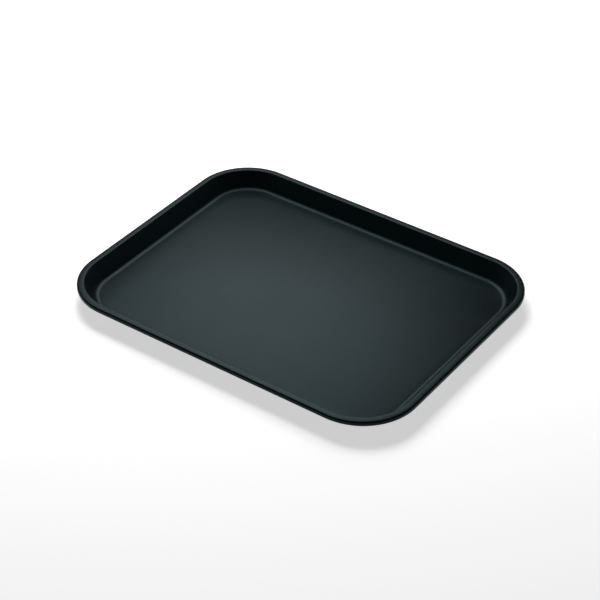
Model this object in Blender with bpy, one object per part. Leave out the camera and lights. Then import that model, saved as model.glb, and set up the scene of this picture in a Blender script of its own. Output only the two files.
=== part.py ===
"""A moulded rectangular serving tray, 14 by 18 inches, with a rubber lining and a wire in its rim.

Metres, +Z up, +X along the long side. The origin is under the middle of the tray, on the surface
that the tray stands on. The moulding is one section carried round a rectangle with round corners,
so every place on the section is given as an inset from the outer edge and a height.
"""

from math import cos, pi, radians, sin, tan

import bmesh
import bpy

# the tray in plan
LENGTH = 0.4572
WIDTH = 0.3556
CORNER_RADIUS = 0.070
CORNER_STEPS = 12

# its section
FOOT_DROP = 0.0009  # the foot bead below the underside of the floor
FLOOR_THICKNESS = 0.0024
WELL_DEPTH = 0.0203  # rim top to the floor
RIM_TOP = FOOT_DROP + FLOOR_THICKNESS + WELL_DEPTH
FLOOR_TOP = FOOT_DROP + FLOOR_THICKNESS
WALL = 0.0022
WALL_SLOPE = radians(62)  # from level
FLOOR_EDGE = 0.0242  # inset where the floor turns up into the wall
FILLET_RADIUS = 0.0075
UNDER_FILLET_SHARE = 0.45  # the part of the slope where the fillet under the floor meets the foot

# the rim
LIP_DROP = 0.0056
LIP_THICKNESS = 0.0020
LIP_ROUND = 0.0006
CROWN_TILT = radians(8)  # the rim falls a little towards its outer edge
OUTER_ROUND = 0.0022
INNER_ROUND = 0.0020
CHANNEL_ROUND = 0.0007

# the foot bead, which is a ring under the edge of the floor
FOOT_OUTER = 0.0220
FOOT_INNER = 0.0275
FOOT_SLOPE = 0.0014
FOOT_BEVEL = 0.0005

# the rubber lining and its seat in the floor
LINER_EDGE = 0.0252
LINER_THICKNESS = 0.0006
GAP = 0.0003

# the wire under the rim
WIRE_DIAMETER = 0.0025
WIRE_JOINT = 0.0015  # between its two ends

# the lugs that hold the wire in, and hold stacked trays apart
LUG_LENGTH = 0.014
LUG_TIP = 0.0032  # inset of its free end
LUG_TOP_GAP = 0.00035  # under the wire
LUG_THICKNESS = 0.0011
LUG_ROOT = 0.0013  # how far it reaches into the wall
LUGS_ALONG_X = (-0.135, -0.045, 0.045, 0.135)
LUGS_ALONG_Y = (-0.080, 0.0, 0.080)


def clear_scene():
    for thing in list(bpy.data.objects):
        bpy.data.objects.remove(thing, do_unlink=True)


def material(name, colour, roughness, metallic=0.0):
    made = bpy.data.materials.new(name)
    made.use_nodes = True
    shader = made.node_tree.nodes["Principled BSDF"]
    shader.inputs["Base Color"].default_value = (*colour, 1.0)
    shader.inputs["Roughness"].default_value = roughness
    shader.inputs["Metallic"].default_value = metallic
    return made


def add_object(name, data, finish):
    made = bpy.data.objects.new(name, data)
    made.data.materials.append(finish)
    bpy.context.scene.collection.objects.link(made)
    return made


def arc(centre, radius, start, end, steps):
    """Points (inset, height) on an arc. An angle of 0 points up, and a quarter turn points inwards."""
    turns = [start + (end - start) * i / steps for i in range(steps + 1)]
    return [(centre[0] + radius * sin(a), centre[1] + radius * cos(a)) for a in turns]


def rounded_rectangle(inset):
    """The outline in plan at this inset, anticlockwise from the middle of the +X end's first corner."""
    radius = CORNER_RADIUS - inset
    across, along = LENGTH / 2 - CORNER_RADIUS, WIDTH / 2 - CORNER_RADIUS
    middles = ((across, -along), (across, along), (-across, along), (-across, -along))
    points = []
    for quarter, (x, y) in enumerate(middles):
        for step in range(CORNER_STEPS + 1):
            turn = (quarter - 1 + step / CORNER_STEPS) * pi / 2
            points.append((x + radius * cos(turn), y + radius * sin(turn)))
    return points


def pairs(ring):
    """Each vertex of a closed ring with the next one."""
    return zip(ring, ring[1:] + ring[:1])


def wall_inset(height, outside=False):
    """How far in the sloping wall is at this height, on its inner face or on its outer one."""
    fillet_middle = FLOOR_TOP + FILLET_RADIUS
    start = FLOOR_EDGE - FILLET_RADIUS * sin(WALL_SLOPE)
    start_height = fillet_middle - FILLET_RADIUS * cos(WALL_SLOPE)
    inset = start - (height - start_height) / tan(WALL_SLOPE)
    return inset - WALL / sin(WALL_SLOPE) if outside else inset


def top_profile():
    """From the seat of the lining, up the wall and over the rim, to the top of the lip."""
    seat = FLOOR_TOP - LINER_THICKNESS - GAP
    points = [(LINER_EDGE, seat), (LINER_EDGE, FLOOR_TOP)]
    fillet = (FLOOR_EDGE, FLOOR_TOP + FILLET_RADIUS)
    points += arc(fillet, FILLET_RADIUS, pi, pi + WALL_SLOPE, 7)
    shoulder = RIM_TOP - INNER_ROUND
    tangent = shoulder + INNER_ROUND * cos(WALL_SLOPE)
    inner = (wall_inset(tangent) - INNER_ROUND * sin(WALL_SLOPE), shoulder)
    points += arc(inner, INNER_ROUND, WALL_SLOPE, 0, 4)
    crown_radius = (inner[0] - OUTER_ROUND) / sin(CROWN_TILT) + OUTER_ROUND
    crown = (inner[0], RIM_TOP - crown_radius)
    points += arc(crown, crown_radius, 0, -CROWN_TILT, 2)[1:]
    outer = (OUTER_ROUND, crown[1] + (crown_radius - OUTER_ROUND) * cos(CROWN_TILT))
    points += arc(outer, OUTER_ROUND, -CROWN_TILT, -pi / 2, 5)[1:]
    return points


def lip_profile():
    """Down the outside of the lip, round its edge, and up into the channel behind it."""
    bottom = RIM_TOP - LIP_DROP
    roof = RIM_TOP - WALL
    points = arc((LIP_ROUND, bottom + LIP_ROUND), LIP_ROUND, -pi / 2, -pi, 2)
    points += arc((LIP_THICKNESS - LIP_ROUND, bottom + LIP_ROUND), LIP_ROUND, pi, pi / 2, 2)
    channel = (LIP_THICKNESS + CHANNEL_ROUND, roof - CHANNEL_ROUND)
    points += arc(channel, CHANNEL_ROUND, -pi / 2, 0, 2)
    points.append((wall_inset(roof, outside=True), roof))
    return points


def under_profile():
    """Down the outside of the wall, round the foot bead, to the underside of the floor."""
    fillet = (FLOOR_EDGE, FLOOR_TOP + FILLET_RADIUS)
    meets_foot = WALL_SLOPE * UNDER_FILLET_SHARE
    points = arc(fillet, FILLET_RADIUS + WALL, pi + WALL_SLOPE, pi + meets_foot, 4)
    points += [(FOOT_OUTER - FOOT_BEVEL, FOOT_BEVEL), (FOOT_OUTER, 0.0)]
    points += [(FOOT_INNER, 0.0), (FOOT_INNER + FOOT_SLOPE, FOOT_DROP)]
    return points


def carry_round_plan(bm, profile):
    """Carries the profile round the plan as rows of four-sided faces, and closes both ends of it."""
    rings = []
    for inset, height in profile:
        rings.append([bm.verts.new((x, y, height)) for x, y in rounded_rectangle(inset)])
    for lower, upper in zip(rings, rings[1:]):
        for (a, b), (d, c) in zip(pairs(lower), pairs(upper)):
            bm.faces.new((a, b, c, d))
    bm.faces.new(rings[0])
    bm.faces.new(rings[-1])
    bmesh.ops.recalc_face_normals(bm, faces=bm.faces)


def to_mesh(bm, name, sharp=30):
    data = bpy.data.meshes.new(name)
    bm.to_mesh(data)
    bm.free()
    data.shade_smooth()
    data.set_sharp_from_angle(angle=radians(sharp))
    return data


def add_lug(bm, middle, along_x):
    """One lug: a short bar whose root is buried in the wall, below the wire."""
    top = RIM_TOP - WALL - GAP - WIRE_DIAMETER - LUG_TOP_GAP
    bottom = top - LUG_THICKNESS
    section = [(LUG_TIP, top), (wall_inset(top, outside=True) + LUG_ROOT, top)]
    section += [(wall_inset(bottom, outside=True) + LUG_ROOT, bottom), (LUG_TIP, bottom)]
    side = 1 if middle[1 if along_x else 0] > 0 else -1
    half = (WIDTH if along_x else LENGTH) / 2
    corners = []
    for inset, height in section:
        across = side * (half - inset)
        start = middle[0 if along_x else 1] - LUG_LENGTH / 2
        place = (start, across) if along_x else (across, start)
        corners.append(bm.verts.new((*place, height)))
    end = bm.faces.new(corners)
    made = bmesh.ops.extrude_face_region(bm, geom=[end])
    moved = [v for v in made["geom"] if isinstance(v, bmesh.types.BMVert)]
    step = (LUG_LENGTH, 0, 0) if along_x else (0, LUG_LENGTH, 0)
    bmesh.ops.translate(bm, verts=moved, vec=step)


def make_lugs():
    """All of the lugs in one helper object, which a Boolean joins to the moulding."""
    bm = bmesh.new()
    for side in (-1, 1):
        for x in LUGS_ALONG_X:
            add_lug(bm, (x, side), along_x=True)
        for y in LUGS_ALONG_Y:
            add_lug(bm, (side, y), along_x=False)
    bmesh.ops.recalc_face_normals(bm, faces=bm.faces)
    made = add_object("lugs", to_mesh(bm, "lugs"), material("lug_guide", (0.01, 0.012, 0.012), 0.5))
    made.hide_render = True
    made.display_type = "WIRE"
    return made


def make_shell():
    bm = bmesh.new()
    carry_round_plan(bm, top_profile() + lip_profile() + under_profile())
    finish = material("black_moulding", (0.006, 0.008, 0.009), 0.38)
    shell = add_object("tray_shell", to_mesh(bm, "tray_shell"), finish)
    joined = shell.modifiers.new("lugs", "BOOLEAN")
    joined.operation = "UNION"
    joined.object = make_lugs()


def make_liner():
    """A sheet with round corners, flush with the floor."""
    bm = bmesh.new()
    edge = LINER_EDGE + GAP
    corners = [bm.verts.new((x, y, FLOOR_TOP - LINER_THICKNESS)) for x, y in rounded_rectangle(edge)]
    made = bmesh.ops.extrude_face_region(bm, geom=[bm.faces.new(corners)])
    raised = [v for v in made["geom"] if isinstance(v, bmesh.types.BMVert)]
    bmesh.ops.translate(bm, verts=raised, vec=(0, 0, LINER_THICKNESS))
    bmesh.ops.recalc_face_normals(bm, faces=bm.faces)
    finish = material("black_rubber", (0.010, 0.012, 0.013), 0.5)
    add_object("non_slip_liner", to_mesh(bm, "non_slip_liner"), finish)


def make_rim_wire():
    """Round wire bent to the plan of the rim, its two ends nearly meeting at the back."""
    inset = LIP_THICKNESS + GAP + WIRE_DIAMETER / 2
    height = RIM_TOP - WALL - GAP - WIRE_DIAMETER / 2
    outline = rounded_rectangle(inset)
    split = 2 * (CORNER_STEPS + 1)
    back = WIDTH / 2 - inset
    route = [(-WIRE_JOINT / 2, back)] + outline[split:] + outline[:split] + [(WIRE_JOINT / 2, back)]
    data = bpy.data.curves.new("rim_wire", "CURVE")
    data.dimensions = "3D"
    data.bevel_depth = WIRE_DIAMETER / 2
    data.bevel_resolution = 2
    data.use_fill_caps = True
    spline = data.splines.new("POLY")
    spline.points.add(len(route) - 1)
    for point, (x, y) in zip(spline.points, route):
        point.co = (x, y, height, 1.0)
    spline.use_smooth = True
    finish = material("bright_steel", (0.55, 0.55, 0.54), 0.3, metallic=1.0)
    add_object("rim_wire", data, finish)


def main():
    clear_scene()
    make_shell()
    make_liner()
    make_rim_wire()


main()
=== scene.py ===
from math import cos, pi, radians, sin, tan

import bpy
from mathutils import Matrix, Vector


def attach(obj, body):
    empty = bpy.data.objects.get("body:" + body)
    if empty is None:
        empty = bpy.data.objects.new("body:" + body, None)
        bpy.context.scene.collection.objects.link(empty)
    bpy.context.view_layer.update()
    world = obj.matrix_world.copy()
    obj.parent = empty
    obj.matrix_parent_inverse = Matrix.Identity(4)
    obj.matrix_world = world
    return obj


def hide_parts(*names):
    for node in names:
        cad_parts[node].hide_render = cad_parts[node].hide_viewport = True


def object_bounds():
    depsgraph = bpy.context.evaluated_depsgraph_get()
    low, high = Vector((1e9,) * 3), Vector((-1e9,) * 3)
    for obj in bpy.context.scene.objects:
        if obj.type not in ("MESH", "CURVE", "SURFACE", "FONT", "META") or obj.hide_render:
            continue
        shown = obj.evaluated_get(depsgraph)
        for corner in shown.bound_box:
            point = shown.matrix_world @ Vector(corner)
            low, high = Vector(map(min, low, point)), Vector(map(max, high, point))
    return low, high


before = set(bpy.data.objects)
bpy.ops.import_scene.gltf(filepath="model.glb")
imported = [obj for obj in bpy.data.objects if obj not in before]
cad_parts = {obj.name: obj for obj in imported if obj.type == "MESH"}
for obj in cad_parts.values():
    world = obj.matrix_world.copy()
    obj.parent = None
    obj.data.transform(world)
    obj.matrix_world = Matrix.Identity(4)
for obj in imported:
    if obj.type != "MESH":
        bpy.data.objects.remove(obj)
cadLow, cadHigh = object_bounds()

tiny = 1e-6  # metres; points nearer than this count as one

# the size of the whole tray comes from the frame, and the rest of its section is given here
tray = {
    "cornerRadius": 0.070,
    "cornerSteps": 24,
    "rimTop": cadHigh.z,
    "wall": 0.0022,
    "wallSlope": radians(62),  # from level
    "floorTop": 0.0033,
    "floorEdge": 0.0242,  # how far in the floor starts
    "floorFillet": 0.0075,
    "underside": 0.0009,
}

rim = {
    "lipDrop": 0.0056,
    "lipThickness": 0.0020,
    "lipRound": 0.0006,
    "crownTilt": radians(8),  # the rim falls a little towards its outer edge
    "outerRound": 0.0022,
    "innerRound": 0.0020,
    "channelRound": 0.0007,
}


def dropSelection():
    if bpy.context.object and bpy.context.object.mode != "OBJECT":
        bpy.ops.object.mode_set(mode="OBJECT")
    bpy.ops.object.select_all(action="DESELECT")


def pickOnly(piece):
    dropSelection()
    piece.select_set(True)
    bpy.context.view_layer.objects.active = piece


def editFaces(piece, wanted):
    # goes into edit mode with just the faces that wanted() accepts
    pickOnly(piece)
    bpy.ops.object.mode_set(mode="EDIT")
    bpy.ops.mesh.select_mode(type="FACE")
    bpy.ops.mesh.select_all(action="DESELECT")
    bpy.ops.object.mode_set(mode="OBJECT")
    for face in piece.data.polygons:
        face.select = bool(wanted(face))
    bpy.ops.object.mode_set(mode="EDIT")


def editEdges(piece, wanted):
    # wanted() gets the two ends of an edge
    pickOnly(piece)
    bpy.ops.object.mode_set(mode="EDIT")
    bpy.ops.mesh.select_mode(type="EDGE")
    bpy.ops.mesh.select_all(action="DESELECT")
    bpy.ops.object.mode_set(mode="OBJECT")
    points = piece.data.vertices
    for edge in piece.data.edges:
        a, b = edge.vertices
        edge.select = bool(wanted(points[a].co, points[b].co))
    bpy.ops.object.mode_set(mode="EDIT")


def settle(piece, name, smoothAngle=30):
    # the place goes into the mesh, so that the object itself sits at the origin
    pickOnly(piece)
    piece.name = name
    piece.data.name = name
    bpy.ops.object.transform_apply(location=True, rotation=True, scale=True)
    bpy.ops.object.shade_smooth_by_angle(angle=radians(smoothAngle))
    return piece


def applyAll(piece):
    pickOnly(piece)
    for modifier in list(piece.modifiers):
        bpy.ops.object.modifier_apply(modifier=modifier.name)


def addBlock(low, high):
    dropSelection()
    middle, size = (low + high) / 2, high - low
    bpy.ops.mesh.primitive_cube_add(size=1, location=middle, scale=size)
    block = bpy.context.object
    bpy.ops.object.transform_apply(location=True, rotation=True, scale=True)
    return block


def roundCorners(block, radius, steps):
    # bevels the four upright edges
    editEdges(block, lambda a, b: abs(a.z - b.z) > tiny)
    bpy.ops.mesh.bevel(offset=radius, segments=steps, affect="EDGES", profile=0.5)
    bpy.ops.object.mode_set(mode="OBJECT")


# how many straight steps each round of the section is drawn with
arcSteps = {
    "outerRound": 10,
    "crown": 6,
    "innerRound": 8,
    "floorFillet": 18,
    "liningEdge": 3,
    "lipRound": 5,
    "channelRound": 5,
    "underFillet": 12,
    "footRound": 5,
}


def arc(middle, radius, start, end, steps):
    # points (inset, height); 0 is up, and a quarter turn is towards the middle of the tray
    turns = [start + (end - start) * i / steps for i in range(steps + 1)]
    return [(middle[0] + radius * sin(t), middle[1] + radius * cos(t)) for t in turns]


def followSection(block, section, upwards):
    # insets the top or bottom face again and again, one step for each point of the section
    side = 1 if upwards else -1
    level = section[0][1]
    editFaces(block, lambda face: face.normal.z * side > 0.9)
    inset = section[0][0]
    for nextInset, nextLevel in section[1:]:
        rise = (nextLevel - level) * side
        if nextInset - inset > tiny:
            bpy.ops.mesh.inset(thickness=nextInset - inset, depth=rise, use_even_offset=True)
        else:
            bpy.ops.mesh.extrude_region_move(TRANSFORM_OT_translate={"value": (0, 0, rise * side)})
        inset, level = nextInset, nextLevel
    bpy.ops.object.mode_set(mode="OBJECT")


def wallInset(height, outside=False):
    # how far in the sloping wall is at this height
    fillet = tray["floorFillet"]
    start = tray["floorEdge"] - fillet * sin(tray["wallSlope"])
    startHeight = tray["floorTop"] + fillet - fillet * cos(tray["wallSlope"])
    inset = start - (height - startHeight) / tan(tray["wallSlope"])
    return inset - tray["wall"] / sin(tray["wallSlope"]) if outside else inset


liner = {
    "edge": 0.0252,  # inset of its seat
    "thickness": 0.0006,
    "seatGap": 0.00005,
    "edgeRound": 0.00010,
}


def topSection():
    slope, shoulder = tray["wallSlope"], tray["rimTop"] - rim["innerRound"]
    tilt, bend = rim["crownTilt"], rim["outerRound"]
    tangent = shoulder + rim["innerRound"] * cos(slope)
    inner = (wallInset(tangent) - rim["innerRound"] * sin(slope), shoulder)
    crownRadius = (inner[0] - bend) / sin(tilt) + bend
    crown = (inner[0], tray["rimTop"] - crownRadius)
    outer = (bend, crown[1] + (crownRadius - bend) * cos(tilt))
    fillet = (tray["floorEdge"], tray["floorTop"] + tray["floorFillet"])
    seatRound = liner["edgeRound"]
    points = arc(outer, bend, -pi / 2, -tilt, arcSteps["outerRound"])
    points += arc(crown, crownRadius, -tilt, 0, arcSteps["crown"])[1:]
    points += arc(inner, rim["innerRound"], 0, slope, arcSteps["innerRound"])[1:]
    points += arc(fillet, tray["floorFillet"], pi + slope, pi, arcSteps["floorFillet"])
    seatEdge = (liner["edge"] - seatRound, tray["floorTop"] - seatRound)
    points += arc(seatEdge, seatRound, 0, pi / 2, arcSteps["liningEdge"])
    points.append((liner["edge"], tray["floorTop"] - liner["thickness"] - liner["seatGap"]))
    return points


foot = {
    "outer": 0.0220,
    "inner": 0.0275,
    "round": 0.0008,
    "innerRise": 0.0014,
    "meetsFillet": 0.45,  # the share of the wall's slope that is left where the foot starts
    "roundFrom": 0.68 * pi,  # where its outer round starts, turned from straight up
}


def underSection():
    bottom = tray["rimTop"] - rim["lipDrop"]
    roof = tray["rimTop"] - tray["wall"]
    bend, slope = rim["lipRound"], tray["wallSlope"]
    fillet = (tray["floorEdge"], tray["floorTop"] + tray["floorFillet"])
    points = arc((bend, bottom + bend), bend, -pi / 2, -pi, arcSteps["lipRound"])
    back = (rim["lipThickness"] - bend, bottom + bend)
    points += arc(back, bend, pi, pi / 2, arcSteps["lipRound"])
    corner = (rim["lipThickness"] + rim["channelRound"], roof - rim["channelRound"])
    points += arc(corner, rim["channelRound"], -pi / 2, 0, arcSteps["channelRound"])
    points.append((wallInset(roof, outside=True), roof))
    turned = pi + slope * foot["meetsFillet"]
    points += arc(fillet, tray["floorFillet"] + tray["wall"], pi + slope, turned, arcSteps["underFillet"])
    bead = (foot["outer"], foot["round"])
    points += arc(bead, foot["round"], -foot["roundFrom"], -pi, arcSteps["footRound"])
    points += [(foot["inner"], 0.0), (foot["inner"] + foot["innerRise"], tray["underside"])]
    return points


wire = {
    "thickness": 0.0025,
    "clearance": 0.0003,
    "ends": 0.0015,
    "sides": 20,
}


lug = {
    "length": 0.014,
    "tip": 0.0032,
    "root": 0.0112,
    "underWire": 0.00035,
    "thickness": 0.0011,
    "round": 0.00025,
    "roundSteps": 3,
    "alongX": (-0.135, -0.045, 0.045, 0.135),
    "alongY": (-0.080, 0.0, 0.080),
}


def makeLugs():
    # one lug is modelled at the back edge, and copies of it are carried to the other places
    top = tray["rimTop"] - tray["wall"] - wire["clearance"] - wire["thickness"] - lug["underWire"]
    low = Vector((-lug["length"] / 2, -lug["root"], top - lug["thickness"]))
    high = Vector((lug["length"] / 2, -lug["tip"], top))
    pattern = addBlock(low, high)
    editEdges(pattern, lambda a, b: min(a.y, b.y) > low.y + tiny)
    bpy.ops.mesh.bevel(offset=lug["round"], segments=lug["roundSteps"], affect="EDGES")
    bpy.ops.object.mode_set(mode="OBJECT")
    places = []
    for x in lug["alongX"]:
        places += [((x, cadHigh.y, 0), 0), ((x, cadLow.y, 0), pi)]
    for y in lug["alongY"]:
        places += [((cadHigh.x, y, 0), -pi / 2), ((cadLow.x, y, 0), pi / 2)]
    copies = []
    for place, turn in places:
        copied = pattern.copy()
        copied.data = pattern.data.copy()
        bpy.context.scene.collection.objects.link(copied)
        copied.location = place
        copied.rotation_euler = (0, 0, turn)
        copies.append(copied)
    bpy.data.objects.remove(pattern)
    dropSelection()
    for copied in copies:
        copied.select_set(True)
    bpy.context.view_layer.objects.active = copies[0]
    bpy.ops.object.join()
    bpy.ops.object.transform_apply(location=True, rotation=True, scale=True)
    return bpy.context.object


def makeShell():
    lipFoot = tray["rimTop"] - rim["lipDrop"] + rim["lipRound"]
    lipHead = topSection()[0][1]
    shell = addBlock(Vector((cadLow.x, cadLow.y, lipFoot)), Vector((cadHigh.x, cadHigh.y, lipHead)))
    roundCorners(shell, tray["cornerRadius"], tray["cornerSteps"])
    followSection(shell, topSection(), upwards=True)
    followSection(shell, underSection(), upwards=False)
    lugs = makeLugs()
    joint = shell.modifiers.new("lugs", "BOOLEAN")
    joint.operation = "UNION"
    joint.solver = "EXACT"
    joint.object = lugs
    applyAll(shell)
    bpy.data.objects.remove(lugs)
    return settle(shell, "trayShell")


def makeLiner():
    floor = tray["floorTop"]
    edge = Vector((liner["edge"] + liner["seatGap"], liner["edge"] + liner["seatGap"], 0))
    bend = liner["edgeRound"]
    low = Vector((cadLow.x, cadLow.y, floor - liner["thickness"])) + edge
    high = Vector((cadHigh.x, cadHigh.y, floor - bend)) - edge
    sheet = addBlock(low, high)
    roundCorners(sheet, tray["cornerRadius"] - edge.x, tray["cornerSteps"])
    followSection(sheet, arc((bend, floor - bend), bend, -pi / 2, 0, arcSteps["liningEdge"]), upwards=True)
    return settle(sheet, "nonSlipLiner")


def makeWire():
    # a ring of points drawn along the straights and spun round the corners
    half = wire["thickness"] / 2
    inset = rim["lipThickness"] + wire["clearance"] + half
    level = tray["rimTop"] - tray["wall"] - wire["clearance"] - half
    back = cadHigh.y - inset
    farX, farY = cadHigh.x - tray["cornerRadius"], cadHigh.y - tray["cornerRadius"]
    dropSelection()
    bpy.ops.mesh.primitive_circle_add(vertices=wire["sides"], radius=half, fill_type="NOTHING",
                                      location=(-wire["ends"] / 2, back, level), rotation=(0, pi / 2, 0))
    hoop = bpy.context.object
    bpy.ops.object.transform_apply(location=True, rotation=True, scale=True)
    bpy.ops.object.mode_set(mode="EDIT")
    bpy.ops.mesh.select_mode(type="EDGE")
    bpy.ops.mesh.select_all(action="SELECT")
    runs = [(-farX + wire["ends"] / 2, 0), (0, -2 * farY), (2 * farX, 0), (0, 2 * farY)]
    corners = [(-farX, farY), (-farX, -farY), (farX, -farY), (farX, farY)]
    for run, corner in zip(runs, corners):
        bpy.ops.mesh.extrude_region_move(TRANSFORM_OT_translate={"value": (*run, 0)})
        bpy.ops.mesh.spin(steps=tray["cornerSteps"], angle=-pi / 2, center=(*corner, level), axis=(0, 0, 1))
    bpy.ops.mesh.extrude_region_move(TRANSFORM_OT_translate={"value": (-farX + wire["ends"] / 2, 0, 0)})
    bpy.ops.mesh.select_all(action="SELECT")
    bpy.ops.mesh.remove_doubles(threshold=tiny)
    bpy.ops.mesh.fill_holes(sides=0)
    bpy.ops.mesh.normals_make_consistent(inside=False)
    bpy.ops.object.mode_set(mode="OBJECT")
    return settle(hoop, "rimWire")


print("modelling the tray")
shell = makeShell()
print("modelling the lining and the wire")
lining = makeLiner()
hoop = makeWire()


class Signal:
    # what comes out of a node; sums written with it become Math nodes
    def __init__(self, finish, socket):
        self.finish, self.socket = finish, socket

    def maths(self, operation, *terms):
        return self.finish.node("ShaderNodeMath", {"operation": operation}, dict(enumerate(terms)))

    def __add__(self, other):
        return self.maths("ADD", self, other)

    def __radd__(self, other):
        return self.maths("ADD", other, self)

    def __sub__(self, other):
        return self.maths("SUBTRACT", self, other)

    def __rsub__(self, other):
        return self.maths("SUBTRACT", other, self)

    def __mul__(self, other):
        return self.maths("MULTIPLY", self, other)

    def __rmul__(self, other):
        return self.maths("MULTIPLY", other, self)

    def __abs__(self):
        return self.maths("ABSOLUTE", self)

    def root(self):
        return self.maths("SQRT", self)

    def above(self, level):
        return self.maths("MAXIMUM", self, level)

    def below(self, level):
        return self.maths("MINIMUM", self, level)


class Finish:
    # the nodes of a material, or of the air round the studio
    def __init__(self, owner, look, shader="Principled BSDF", space="Object"):
        owner.use_nodes = True
        self.owner = owner
        self.tree = owner.node_tree
        self.shader = self.tree.nodes[shader]
        self.place = self.node("ShaderNodeTexCoord", output=space)
        for socket, value in look.items():
            self.shader.inputs[socket].default_value = value

    def node(self, kind, settings={}, sockets={}, output=0):
        made = self.tree.nodes.new(kind)
        for setting, value in settings.items():
            setattr(made, setting, value)
        for socket, value in sockets.items():
            self.feed(made.inputs[socket], value)
        return Signal(self, made.outputs[output])

    def feed(self, socket, value):
        if isinstance(value, Signal):
            self.tree.links.new(value.socket, socket)
        else:
            socket.default_value = value

    def axes(self):
        apart = self.node("ShaderNodeSeparateXYZ", sockets={0: self.place})
        outputs = apart.socket.node.outputs
        return [Signal(self, outputs[axis]) for axis in "XYZ"]

    def noise(self, size, detail=2.0, roughness=0.5, distortion=0.0):
        # size is about how far apart the spots of the pattern are, in metres
        sockets = {"Vector": self.place, "Scale": 1 / size, "Detail": detail, "Roughness": roughness,
                   "Distortion": distortion}
        return self.node("ShaderNodeTexNoise", sockets=sockets, output="Fac")

    def swing(self, pattern, middle, spread):
        # middle, give or take spread, as the pattern goes from 0 to 1
        return (pattern - 0.5) * spread * 2 + middle

    def ramp(self, signal, low, high, start=0.0, end=1.0):
        # a smooth step from start to end as the signal goes from low to high
        settings = {"interpolation_type": "SMOOTHSTEP", "clamp": True}
        sockets = {"Value": signal, "From Min": low, "From Max": high, "To Min": start, "To Max": end}
        return self.node("ShaderNodeMapRange", settings, sockets, "Result")

    def tint(self, share, dark, light):
        sockets = {"Factor": share, 6: (*dark, 1), 7: (*light, 1)}
        return self.node("ShaderNodeMix", {"data_type": "RGBA"}, sockets, 2)

    def bump(self, height, depth, below=None):
        sockets = {"Height": height, "Distance": depth, "Strength": 1.0}
        if below:
            sockets["Normal"] = below
        return self.node("ShaderNodeBump", sockets=sockets, output="Normal")

    def use(self, **sockets):
        for name, value in sockets.items():
            self.feed(self.shader.inputs[name.replace("_", " ")], value)
        return self.owner


def edgeAndHeight(finish):
    # how far in from the tray's outline a point lies, and how high
    x, y, z = finish.axes()
    radius = tray["cornerRadius"]
    pastX = abs(x) - (cadHigh.x - radius)
    pastY = abs(y) - (cadHigh.y - radius)
    cornerX, cornerY = pastX.above(0), pastY.above(0)
    fromCentre = (cornerX * cornerX + cornerY * cornerY).root()
    return radius - fromCentre - pastX.above(pastY).below(0), z


# a dull black with a little blue green in its sheen
sheen = {"Specular IOR Level": 0.11, "Specular Tint": (0.53, 0.90, 1.0, 1.0)}

moulding = {
    "dark": (0.0006, 0.0042, 0.0046),
    "light": (0.0014, 0.0064, 0.0069),
    "cloudSize": 0.030,
    "cloudRoughness": 0.6,
    "cloudDistortion": 0.4,
    "speckSize": 0.0011,
    "speckShare": 0.3,
    "shadeFrom": 0.3,
    "shadeTo": 0.7,
    "roughness": 0.37,
    "roughnessSpread": 0.03,
    "grainSize": 0.00045,
    "grainRoughness": 0.6,
    "grainDepth": 0.000014,
    "rippleSize": 0.070,
    "rippleDepth": 0.00010,
    "handledFrom": 0.0070,  # hands and stacking polish the rim this far in
    "handledHeights": (0.014, 0.018),
    "handledRoughness": -0.03,
}


def mouldedPlastic():
    # a glass filled moulding: cloudy black, a fine grain, and a rim that handling has polished
    finish = Finish(bpy.data.materials.new("mouldedPlastic"), sheen)
    edge, height = edgeAndHeight(finish)
    cloud = finish.noise(moulding["cloudSize"], detail=4, roughness=moulding["cloudRoughness"],
                         distortion=moulding["cloudDistortion"])
    speck = finish.noise(moulding["speckSize"])
    mottle = cloud * (1 - moulding["speckShare"]) + speck * moulding["speckShare"]
    shade = finish.ramp(mottle, moulding["shadeFrom"], moulding["shadeTo"])
    grain = finish.noise(moulding["grainSize"], roughness=moulding["grainRoughness"])
    ripple = finish.noise(moulding["rippleSize"], detail=1)
    handled = finish.ramp(edge, moulding["handledFrom"], 0.0)
    handled = handled * finish.ramp(height, *moulding["handledHeights"])
    dull = finish.swing(cloud, moulding["roughness"], moulding["roughnessSpread"])
    dull = dull + finish.swing(speck, 0.0, moulding["roughnessSpread"] / 2)
    dull = dull + handled * moulding["handledRoughness"]
    surface = finish.bump(ripple, moulding["rippleDepth"])
    surface = finish.bump(grain, moulding["grainDepth"], surface)
    return finish.use(Base_Color=finish.tint(shade, moulding["dark"], moulding["light"]),
                      Roughness=dull, Normal=surface)


rubber = {
    "dark": (0.0006, 0.0042, 0.0046),
    "light": (0.0014, 0.0064, 0.0069),
    "cloudSize": 0.045,
    "cloudRoughness": 0.6,
    "cloudDistortion": 0.6,
    "shadeFrom": 0.35,
    "shadeTo": 0.65,
    "roughness": 0.37,
    "roughnessSpread": 0.03,
    "pebbleSize": 0.0009,
    "pebbleDepth": 0.000018,
    "pebbleSoftness": 0.6,
    "rippleSize": 0.090,
    "rippleDepth": 0.00012,
}


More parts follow.
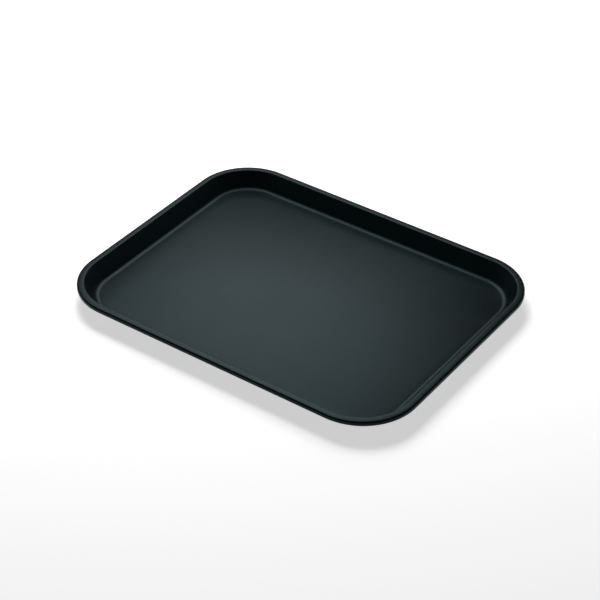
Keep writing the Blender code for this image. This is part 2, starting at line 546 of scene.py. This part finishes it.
def liningRubber():
    # a thin rubber skin: a pebbled surface, and the faint waves of a sheet that was rolled
    finish = Finish(bpy.data.materials.new("liningRubber"), sheen)
    cloud = finish.noise(rubber["cloudSize"], detail=4, roughness=rubber["cloudRoughness"],
                         distortion=rubber["cloudDistortion"])
    shade = finish.ramp(cloud, rubber["shadeFrom"], rubber["shadeTo"])
    pebble = finish.node("ShaderNodeTexVoronoi", {"feature": "SMOOTH_F1"},
                         {"Vector": finish.place, "Scale": 1 / rubber["pebbleSize"],
                          "Smoothness": rubber["pebbleSoftness"]}, "Distance")
    ripple = finish.noise(rubber["rippleSize"], detail=1)
    dull = finish.swing(cloud, rubber["roughness"], rubber["roughnessSpread"])
    surface = finish.bump(ripple, rubber["rippleDepth"])
    surface = finish.bump(pebble, rubber["pebbleDepth"], surface)
    return finish.use(Base_Color=finish.tint(shade, rubber["dark"], rubber["light"]),
                      Roughness=dull, Normal=surface)


steel = {
    "bright": (0.56, 0.57, 0.56),
    "dull": (0.36, 0.37, 0.37),
    "roughness": 0.28,
    "roughnessSpread": 0.14,
    "spangleSize": 0.004,
    "spangleRoughness": 0.6,
    "shadeFrom": 0.35,
    "shadeTo": 0.65,
    "drawLineSize": 0.00012,
    "drawLineDepth": 0.000006,
}


def platedWire():
    # zinc plated wire: cloudy plating over the fine lines that the drawing die leaves along it
    finish = Finish(bpy.data.materials.new("platedWire"), {"Metallic": 1.0})
    edge, height = edgeAndHeight(finish)
    plating = finish.noise(steel["spangleSize"], detail=3, roughness=steel["spangleRoughness"])
    across = finish.node("ShaderNodeCombineXYZ", sockets={"X": edge, "Y": height})
    lines = finish.node("ShaderNodeTexNoise", {"noise_dimensions": "2D"},
                        {"Vector": across, "Scale": 1 / steel["drawLineSize"], "Detail": 2.0}, "Fac")
    shade = finish.ramp(plating, steel["shadeFrom"], steel["shadeTo"])
    dull = finish.swing(plating, steel["roughness"], steel["roughnessSpread"])
    return finish.use(Base_Color=finish.tint(shade, steel["dull"], steel["bright"]), Roughness=dull,
                      Normal=finish.bump(lines, steel["drawLineDepth"]))


print("giving the pieces their finishes")
for piece, node, slot, finished in ((shell, "tray_shell", "moulded_tray", mouldedPlastic()),
                                    (lining, "non_slip_liner", "rubber_lining", liningRubber()),
                                    (hoop, "rim_wire", "rim_wire", platedWire())):
    piece.data.materials.append(finished)
    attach(piece, "root")
    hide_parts(node)


shot = {
    "azimuth": radians(35.33),
    "elevation": radians(36.86),
    "roll": radians(0.34),
    "distance": 2.1396,
    "aim": (0.0020, -0.0037, 0.0011),
    "lens": 109.37,
    "sensor": 36,
}


def makeCamera():
    turn, lift = shot["azimuth"], shot["elevation"]
    back = Vector((sin(turn) * cos(lift), -cos(turn) * cos(lift), sin(lift)))
    data = bpy.data.cameras.new("camera")
    data.sensor_width = shot["sensor"]
    data.lens = shot["lens"]
    camera = bpy.data.objects.new("camera", data)
    bpy.context.scene.collection.objects.link(camera)
    camera.location = Vector(shot["aim"]) + back * shot["distance"]
    aimed = Matrix.Rotation(turn, 3, "Z") @ Matrix.Rotation(pi / 2 - lift, 3, "X")
    camera.rotation_euler = (aimed @ Matrix.Rotation(shot["roll"], 3, "Z")).to_euler()
    bpy.context.scene.camera = camera


studio = {
    "floorSize": 16,
    "floorGap": 0.0002,
    "floorColour": (0.86, 0.86, 0.86, 1),
    "floorRoughness": 0.9,
    "floorShine": 0.1,
    "floorGlow": 0.58,
    "white": (1, 1, 1, 1),
    "airAtHorizon": 0.50,
    "airAbove": 0.0,
    "airFades": (0.05, 0.48),  # as the sine of the angle above the horizon
}

# each soft box: its middle, what it faces, its width and depth, and its brightness
softBoxes = {
    "overhead": ((-0.74, 0.77, 1.2), (-0.74, 0.77, 0), (1.00, 0.96), 6.4),
    "nearEdge": ((-0.59, 0.40, 1.2), (-0.59, 0.40, 0), (0.66, 0.43), 5.4),
    "behind": ((-1.12, 1.54, 1.2), (-1.12, 1.54, 0), (1.26, 0.66), 3.0),
}


def makeFloor():
    dropSelection()
    bpy.ops.mesh.primitive_plane_add(size=studio["floorSize"], location=(0, 0, -studio["floorGap"]))
    floor = settle(bpy.context.object, "studioFloor")
    look = {
        "Base Color": studio["floorColour"],
        "Roughness": studio["floorRoughness"],
        "Specular IOR Level": studio["floorShine"],
        "Emission Color": studio["white"],
        "Emission Strength": studio["floorGlow"],
    }
    floor.data.materials.append(Finish(bpy.data.materials.new("paleFloor"), look).use())


def makeSoftBox(name, place, target, size, brightness):
    data = bpy.data.lights.new(name, "AREA")
    data.shape = "RECTANGLE"
    data.size, data.size_y = size
    data.energy = brightness * pi * size[0] * size[1]
    lamp = bpy.data.objects.new(name, data)
    bpy.context.scene.collection.objects.link(lamp)
    lamp.location = place
    lamp.rotation_euler = (Vector(target) - Vector(place)).to_track_quat("-Z", "Y").to_euler()


def makeAir():
    # pale round the horizon and dark overhead, where only the soft boxes shine
    world = bpy.data.worlds.new("studioAir")
    air = Finish(world, {"Color": studio["white"]}, shader="Background", space="Generated")
    height = air.axes()[2]
    glow = air.ramp(height, *studio["airFades"], studio["airAtHorizon"], studio["airAbove"])
    bpy.context.scene.world = air.use(Strength=glow)


print("setting up the studio")
makeCamera()
makeFloor()
for name, setting in softBoxes.items():
    makeSoftBox(name, *setting)
makeAir()
bpy.context.scene.view_settings.view_transform = "Standard"
